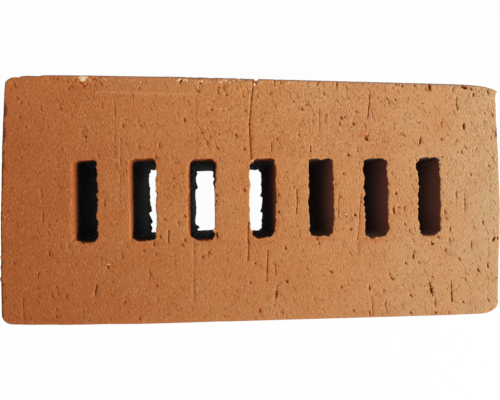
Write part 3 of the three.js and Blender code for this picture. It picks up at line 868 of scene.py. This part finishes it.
# Fewer triangles, except where the pits and lines are, so that those stay sharp.
def thin(piece, upper, kept):
    data = piece.data
    triangles = sum(len(p.vertices) - 2 for p in data.polygons)
    for name, chosen in (("upperBed", upper & ~kept), ("rest", ~upper)):
        group = piece.vertex_groups.new(name=name)
        group.add(np.flatnonzero(chosen).tolist(), 1, "REPLACE")
    first = np.empty(len(data.polygons), int)
    data.polygons.foreach_get("loop_start", first)
    corners = np.empty(len(data.loops), int)
    data.loops.foreach_get("vertex_index", corners)
    upperTriangles = int(upper[corners[first]].sum() * triangles / len(data.polygons))
    afterRest = upperTriangles + mesh["otherTriangles"]
    total = mesh["upperBedTriangles"] + mesh["otherTriangles"]
    for group, before, after in (("rest", triangles, afterRest), ("upperBed", afterRest, total)):
        thinner = piece.modifiers.new("thin " + group, "DECIMATE")
        thinner.ratio = min(after / before, 1)
        thinner.use_collapse_triangulate = True
        thinner.vertex_group = group
    print("thinning", triangles, "triangles,", upperTriangles, "of them on the upper bed")
    applied(piece)


# Shapes the piece and marks it. In the slots, light reaches the left walls of the first two. The walls carry
# painted shade: darker further down and on the back walls of the last three, and deep down near black in the
# first slots but a paler painted grey in the last ones.
def finishShape(piece):
    data = piece.data
    points = readVectors(data.vertices, "co") / mm
    normals = readVectors(data.vertices, "normal")
    upper = points[:, 2] > height - mesh["upperDepth"]
    marks = {name: np.zeros(len(points)) for name in markNames}
    nearest, _, away, outwards = bySlot(points[:, :2])
    depth = np.minimum(points[:, 2] * 4, height - points[:, 2])
    lit = rise(-outwards[:, 0], 0.5, 0.9) * (nearest < 2)
    back = rise(outwards[:, 1], 0.4, 0.9) * (nearest > 3)
    inside = (away < 1.5) * rise(depth, 0.1, 1)
    # Painted shade on the walls of the slots: redder and darker near the mouths, darker further down and on
    # the back walls, and deep down near black or a paler painted grey.
    marks["inner"] = inside * (1 - 0.25 * lit)
    marks["paintedSlotShade"] = inside * (rise(depth, 4.5 * lit - 2, 12 + lit) + 2 * back * rise(depth, 0, 2))
    marks["deep"] = inside * rise(height - points[:, 2], 10, 30)
    bowSides(points)
    tearRims(points)
    some, tears = drawSkin(points, normals)
    # Painted shade in the tears of the sides.
    marks["hollow"][some] = 0.6 * tears
    for isUpper in (True, False):
        wearBed(points, marks, isUpper)
    data.vertices.foreach_set("co", (points * mm).ravel())
    for name, values in marks.items():
        data.attributes.new(name, "FLOAT", "POINT").data.foreach_set("value", values)
    data.update()
    kept = (marks["hollow"] > mesh["keptHollow"]) | (marks["paintedArrisShade"] > mesh["keptArrisShade"])
    thin(piece, upper, kept)
    piece.data.set_sharp_from_angle(angle=mesh["creaseAngle"])
    print("shaped:", len(piece.data.polygons), "faces")


finishShape(brick)

halfAlong, halfAcross = brickSize.x / 2, brickSize.y / 2
clay = {
    "kilnAndSheen": [  # along the length, from the end that lay deep in the stack to the end that the fire bleached; the paler right end is partly a painted sheen of the lamp
        (0.0, (0.467, 0.125, 0.028)),
        (0.33, (0.561, 0.195, 0.056)),
        (0.55, (0.592, 0.242, 0.081)),
        (0.8, (0.587, 0.281, 0.113)),
        (1.0, (0.567, 0.334, 0.159)),
    ],
    "grit": [(0.72, 0.43, 0.22), (0.7, 0.66, 0.52)],  # here and below, two colours are left and right
    # painted shade in the pits, lines, chips and tears, darkest in their middle; the pore colour is also
    # that of the fine pores
    "hollow": (0.43, 0.11, 0.012),
    "pore": (0.23, 0.036, 0.003),
    "red": (0.47, 0.1, 0.02),
    "bleached": (0.54, 0.38, 0.22),
    "paintedArrisShade": (0.15, 0.033, 0.01),
    "fringe": [(0.32, 0.172, 0.11), (0.4, 0.235, 0.165)],
    # painted shade on the walls of the slots, left and right; deep down it is a paler grey in the last slots
    "inner": [(0.42, 0.09, 0.016), (0.27, 0.08, 0.05)],
    "paintedSlotShade": [(0.021, 0.014, 0.0125), (0.28, 0.155, 0.12)],
    "deep": [(0.006, 0.005, 0.0045), (0.24, 0.21, 0.2)],
    "paintedBackWallShade": (0.11, 0.06, 0.05),
    "pale": (0.98, 0.74, 0.43),
    "faintPale": (0.74, 0.31, 0.11),
    # darker towards the front, lighter towards the back
    "tone": (0.925, 1.085),
    "roughness": 0.88,
    "gloss": (0.25, 0.09),
}
patterns = {  # how many of each fit in a metre, and the way the wire drags grit across the cut
    "lean": math.radians(-72),
    "leanAtBack": math.radians(-57),
    "strokes": (700, 2150, 1000),
    "strokesAtBack": (620, 2150, 1000),
    "dashes": (240, 1500, 900),
    "pores": (480, 1050, 1000),
    "dieLines": (1300, 1300, 90),
    "backAcross": (0.01, 0.03),  # where that other lean fades in, across the brick and along it, and out
    "backFrom": (0.15, 0.4),
    "backUntil": (0.95, 0.75),
    "coarseAcross": (-0.02, 0.03),
    "coarseAlong": (0.04, 0.24),
    "drift": 24,
    "patches": 60,
    "mottle": 150,
}
shading = {  # how strongly each pattern changes the brightness, and how far it stands out, in millimetres
    "grain": (0.3, 0.27),
    "coarseAtBack": 0.68,
    "brightGrains": 0.12,
    "mottle": 0.08,
    "dashes": 0.14,
    "pores": 0.5,
    "grainRelief": 0.24,
    "poreRelief": -0.15,
    "mottleRelief": 0.12,
    "dashRelief": 0.25,
    "darkest": (0.01, 0.005, 0.003),
}


# Adds nodes to a material or a world. Their inputs are values, colours or the outputs of other nodes.
class Nodes:
    def __init__(self, owner):
        owner.use_nodes = True
        self.tree = owner.node_tree

    def feed(self, value, socket):
        if isinstance(value, bpy.types.NodeSocket):
            self.tree.links.new(value, socket)
        else:
            socket.default_value = value

    def add(self, kind, inputs, **settings):
        node = self.tree.nodes.new("ShaderNode" + kind)
        for name, value in settings.items():
            setattr(node, name, value)
        for name, value in inputs.items():
            self.feed(value, node.inputs[name])
        return node

    def calc(self, operation, *values):
        return self.add("Math", dict(enumerate(values)), operation=operation).outputs[0]

    plus = partialmethod(calc, "ADD")
    minus = partialmethod(calc, "SUBTRACT")
    times = partialmethod(calc, "MULTIPLY")
    most = partialmethod(calc, "MAXIMUM")

    def remap(self, value, start, end, first=0.0, last=1.0, smooth=True):
        inputs = {"Value": value, "From Min": start, "From Max": end, "To Min": first, "To Max": last}
        kind = "SMOOTHSTEP" if smooth else "LINEAR"
        return self.add("MapRange", inputs, interpolation_type=kind).outputs[0]

    def mix(self, share, one, other):
        one, other = ((*value, 1) if isinstance(value, tuple) else value for value in (one, other))
        return self.add("Mix", {0: share, 6: one, 7: other}, data_type="RGBA").outputs[2]

    def noise(self, where, scale, detail=2.0, roughness=0.5):
        inputs = {"Vector": where, "Scale": scale, "Detail": detail, "Roughness": roughness}
        return self.add("TexNoise", inputs).outputs[0]

    # A pattern's place, turned in plan so that its first axis runs along the turn, and stretched.
    def stretch(self, where, turn, scale):
        aligned = self.add("Mapping", {"Vector": where, "Rotation": (0, 0, -turn)}).outputs[0]
        return self.add("Mapping", {"Vector": aligned, "Scale": scale}).outputs[0]


# How strongly the fire took each point, from 0 at the left end to 1 at the right end. The paler colour that
# this gives towards the right end is partly a painted sheen.
def firingAndSheenAt(nodes, where, along, y):
    across = nodes.remap(y, -halfAcross, halfAcross, -0.05, 0.055, False)
    drift = nodes.remap(nodes.noise(where, patterns["drift"], 3, 0.55), 0.3, 0.7, -0.11, 0.11, False)
    return nodes.plus(nodes.plus(along, across), drift)


def firedAndSheenColour(nodes, where, y, firingAndSheen, mottle, redness):
    # The colours along the length: partly the fire, partly a painted sheen towards the right end.
    ramp = nodes.add("ValToRGB", {"Fac": firingAndSheen})
    stops = ramp.color_ramp.elements
    for position, _ in clay["kilnAndSheen"][1:-1]:
        stops.new(position)
    for stop, (position, colour) in zip(stops, clay["kilnAndSheen"]):
        stop.position = position
        stop.color = (*colour, 1)
    patches = nodes.noise(where, patterns["patches"], 2, 0.5)
    tone = nodes.remap(y, -halfAcross, halfAcross, *clay["tone"], False)
    firedAndSheen = nodes.add("VectorMath", {0: ramp.outputs[0], "Scale": tone}, operation="SCALE").outputs[0]
    colour = nodes.mix(nodes.remap(patches, 0.5, 0.75, 0, 0.14), firedAndSheen, clay["red"])
    red = nodes.times(redness, nodes.remap(mottle, 0.3, 0.6, 0.25, 0.75))
    colour = nodes.mix(red, colour, clay["red"])
    return nodes.mix(nodes.remap(redness, 0, -1, 0, 1, False), colour, clay["bleached"])


# The drag of the wire over the beds and of the die down the sides, and longer dashes on the beds.
def dragged(nodes, where, along, y, firingAndSheen):
    normal = nodes.add("SeparateXYZ", {"Vector": nodes.add("NewGeometry", {}).outputs["Normal"]})
    onBed = nodes.remap(nodes.calc("ABSOLUTE", normal.outputs[2]), 0.5, 0.85)
    strokes = nodes.stretch(where, patterns["lean"], patterns["strokes"])
    leaning = nodes.stretch(where, patterns["leanAtBack"], patterns["strokesAtBack"])
    atBack = nodes.times(nodes.remap(y, *patterns["backAcross"]), nodes.remap(along, *patterns["backFrom"]))
    atBack = nodes.times(atBack, nodes.remap(along, *patterns["backUntil"]))
    cut = nodes.mix(atBack, nodes.noise(strokes, 1, 1.5, 0.55), nodes.noise(leaning, 1, 1.5, 0.55))
    drawn = nodes.add("Mapping", {"Vector": where, "Scale": patterns["dieLines"]}).outputs[0]
    grain = nodes.mix(onBed, nodes.noise(drawn, 1, 2, 0.55), cut)
    long = nodes.stretch(where, patterns["lean"] + 0.1, patterns["dashes"])
    dashes = nodes.remap(nodes.noise(long, 1, 1, 0.5), nodes.remap(firingAndSheen, 0, 1, 0.68, 0.6, False), 0.78)
    return grain, nodes.times(dashes, onBed)


def finePores(nodes, where, firingAndSheen):
    spread = nodes.stretch(where, patterns["lean"] + 0.08, patterns["pores"])
    cells = nodes.add("TexVoronoi", {"Vector": spread, "Scale": 1, "Randomness": 1})
    chance = nodes.add("SeparateColor", {"Color": cells.outputs["Color"]})
    density = nodes.remap(firingAndSheen, 0, 1, 0.8, 0.62, False)
    size = nodes.remap(chance.outputs[0], density, 1, 0, 0.4, False)
    return nodes.remap(nodes.minus(size, cells.outputs["Distance"]), 0, 0.14)


# The colour with its bright and dark grains, its dashes and its pores.
def grainedColour(nodes, colour, firingAndSheen, mottle, grain, dashes, pore, coarse):
    shade = nodes.times(nodes.minus(grain, 0.5), nodes.remap(firingAndSheen, 0, 1, *shading["grain"], False))
    shade = nodes.times(shade, coarse)
    bright = nodes.times(nodes.remap(grain, 0.56, 0.74), shading["brightGrains"])
    shade = nodes.plus(shade, bright)
    shade = nodes.plus(shade, nodes.times(nodes.minus(mottle, 0.5), shading["mottle"]))
    shade = nodes.minus(shade, nodes.times(nodes.times(dashes, coarse), shading["dashes"]))
    grit = nodes.mix(firingAndSheen, *clay["grit"])
    inputs = {0: shade, 1: grit, 2: colour}
    grit = nodes.add("VectorMath", inputs, operation="MULTIPLY_ADD").outputs[0]
    grit = nodes.add("VectorMath", {0: grit, 1: shading["darkest"]}, operation="MAXIMUM").outputs[0]
    return nodes.mix(nodes.times(pore, shading["pores"]), grit, clay["pore"])


# The colour with what the shape has marked: pale grains and painted highlights, painted shade along the
# arrises, painted shade in the holes, and painted shade on the walls of the slots.
def wornColour(nodes, colour, x, y, along, marks):
    # Pale grains and painted highlights.
    paleGrainAndHighlight, hollow, paintedSlotShade = marks["paleGrainAndHighlight"], marks["hollow"], marks["paintedSlotShade"]
    crumbs = nodes.mix(nodes.remap(paleGrainAndHighlight, 0.42, 0.8), clay["faintPale"], clay["pale"])
    colour = nodes.mix(paleGrainAndHighlight, colour, crumbs)
    # Painted shade along the arrises, darkest along the left end.
    atRight = nodes.times(nodes.remap(along, 0.4, 0.8), nodes.remap(y, 0.04, 0.055))
    fringe = nodes.mix(atRight, *clay["fringe"])
    fringe = nodes.mix(nodes.remap(x, -0.122, -0.12), clay["paintedArrisShade"], fringe)
    colour = nodes.mix(marks["paintedArrisShade"], colour, fringe)
    # Painted shade in the pits, lines, chips and tears.
    colour = nodes.mix(nodes.remap(hollow, 0.1, 0.4, 0, 0.9), colour, clay["hollow"])
    colour = nodes.mix(nodes.remap(hollow, 0.4, 1), colour, clay["pore"])
    # Painted shade on the walls of the slots.
    for name, start, end in (("inner", 0.5, 0.7), ("paintedSlotShade", 0.46, 0.58), ("deep", 0.46, 0.58)):
        wall = nodes.mix(nodes.remap(along, start, end), *clay[name])
        colour = nodes.mix(marks[name], colour, wall)
    return nodes.mix(nodes.remap(paintedSlotShade, 1.1, 2), colour, clay["paintedBackWallShade"])


# How far the grain, the pores, the mottle and the dashes stand out, in millimetres.
def clayRelief(nodes, mottle, grain, dashes, pore, coarse):
    grains = nodes.times(nodes.times(grain, coarse), shading["grainRelief"])
    relief = nodes.plus(grains, nodes.times(pore, shading["poreRelief"]))
    relief = nodes.plus(relief, nodes.times(mottle, shading["mottleRelief"]))
    return nodes.minus(relief, nodes.times(dashes, shading["dashRelief"]))


def clayMaterial():
    material = bpy.data.materials.new("fired_clay")
    nodes = Nodes(material)
    where = nodes.add("TexCoord", {}).outputs["Object"]
    x, y, _ = nodes.add("SeparateXYZ", {"Vector": where}).outputs
    along = nodes.remap(x, -halfAlong, halfAlong, 0, 1, False)
    marks = {name: nodes.add("Attribute", {}, attribute_name=name).outputs["Fac"] for name in markNames}
    firingAndSheen = firingAndSheenAt(nodes, where, along, y)
    mottle = nodes.noise(where, patterns["mottle"], 3, 0.6)
    grain, dashes = dragged(nodes, where, along, y, firingAndSheen)
    pore = finePores(nodes, where, firingAndSheen)
    atBack = nodes.remap(y, *patterns["coarseAcross"])
    atBack = nodes.times(atBack, nodes.remap(along, *patterns["coarseAlong"]))
    coarse = nodes.calc("MULTIPLY_ADD", atBack, shading["coarseAtBack"], 1)
    colour = firedAndSheenColour(nodes, where, y, firingAndSheen, mottle, marks["redness"])
    colour = grainedColour(nodes, colour, firingAndSheen, mottle, grain, dashes, pore, coarse)
    colour = wornColour(nodes, colour, x, y, along, marks)
    bsdf = nodes.tree.nodes["Principled BSDF"].inputs
    bsdf["Roughness"].default_value = clay["roughness"]
    # Less gloss where the slots are painted in shade.
    gloss = nodes.remap(nodes.most(marks["paintedSlotShade"], marks["deep"]), 0, 0.6, *clay["gloss"])
    relief = clayRelief(nodes, mottle, grain, dashes, pore, coarse)
    bump = nodes.add("Bump", {"Height": relief, "Distance": mm, "Strength": 1}).outputs[0]
    for name, value in (("Base Color", colour), ("Specular IOR Level", gloss), ("Normal", bump)):
        nodes.feed(value, bsdf[name])
    return material


brick.data.materials.clear()
brick.data.materials.append(clayMaterial())
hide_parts("brick")
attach(brick, "root")
print("clay laid on")

studio = {
    "lampAzimuth": math.radians(-20),
    "lampElevation": math.radians(33),
    "lampDistance": 1.2,
    "lampSize": 0.45,
    "lampPower": 17,
    "fill": 0.3,
    "floorSize": 4,
    "floorColour": (0.9, 0.9, 0.9, 1),
    "floorGlow": 0.975,
}
view = {
    "place": (-26.72 * mm, -2.59 * mm, 269.1 * mm),
    "turn": (math.radians(0.652), math.radians(-5.446), math.radians(-0.139)),
    "lens": 29.91,
    "sensor": 36,
}


def seenDirectly(nodes):
    path = nodes.add("LightPath", {}).outputs
    either = nodes.most(path["Is Camera Ray"], path["Is Glossy Ray"])
    return nodes.most(either, path["Is Transmission Ray"])


def layFloor():
    bm = bmesh.new()
    bmesh.ops.create_grid(bm, x_segments=1, y_segments=1, size=studio["floorSize"])
    data = bpy.data.meshes.new("floor")
    bm.to_mesh(data)
    bm.free()
    floor = addObject("floor", data)
    material = bpy.data.materials.new("pale_floor")
    nodes = Nodes(material)
    nodes.tree.nodes.clear()
    diffuse = nodes.add("BsdfDiffuse", {"Color": studio["floorColour"]}).outputs[0]
    glow = nodes.add("Emission", {}).outputs[0]
    share = nodes.times(seenDirectly(nodes), studio["floorGlow"])
    both = nodes.add("MixShader", {0: share, 1: diffuse, 2: glow}).outputs[0]
    nodes.add("OutputMaterial", {"Surface": both})
    data.materials.append(material)


def lightStudio():
    lamp = bpy.data.lights.new("key", "AREA")
    lamp.shape = "SQUARE"
    lamp.size = studio["lampSize"]
    lamp.energy = studio["lampPower"]
    a, e = studio["lampAzimuth"], studio["lampElevation"]
    away = Vector((math.cos(a) * math.cos(e), math.sin(a) * math.cos(e), math.sin(e)))
    key = addObject("key", lamp)
    key.location = Vector((0, 0, brickSize.z)) + away * studio["lampDistance"]
    key.rotation_euler = away.to_track_quat("Z", "Y").to_euler()
    world = bpy.data.worlds.new("studio")
    bpy.context.scene.world = world
    nodes = Nodes(world)
    background = nodes.tree.nodes["Background"].inputs
    background["Color"].default_value = (1, 1, 1, 1)
    nodes.feed(nodes.remap(seenDirectly(nodes), 0, 1, studio["fill"], 1, False), background["Strength"])


def setCamera():
    lens = bpy.data.cameras.new("camera")
    lens.lens = view["lens"]
    lens.sensor_width = view["sensor"]
    lens.clip_start = 0.01
    camera = addObject("camera", lens)
    camera.location = view["place"]
    camera.rotation_euler = view["turn"]
    bpy.context.scene.camera = camera


layFloor()
lightStudio()
setCamera()
bpy.context.scene.view_settings.view_transform = "Standard"
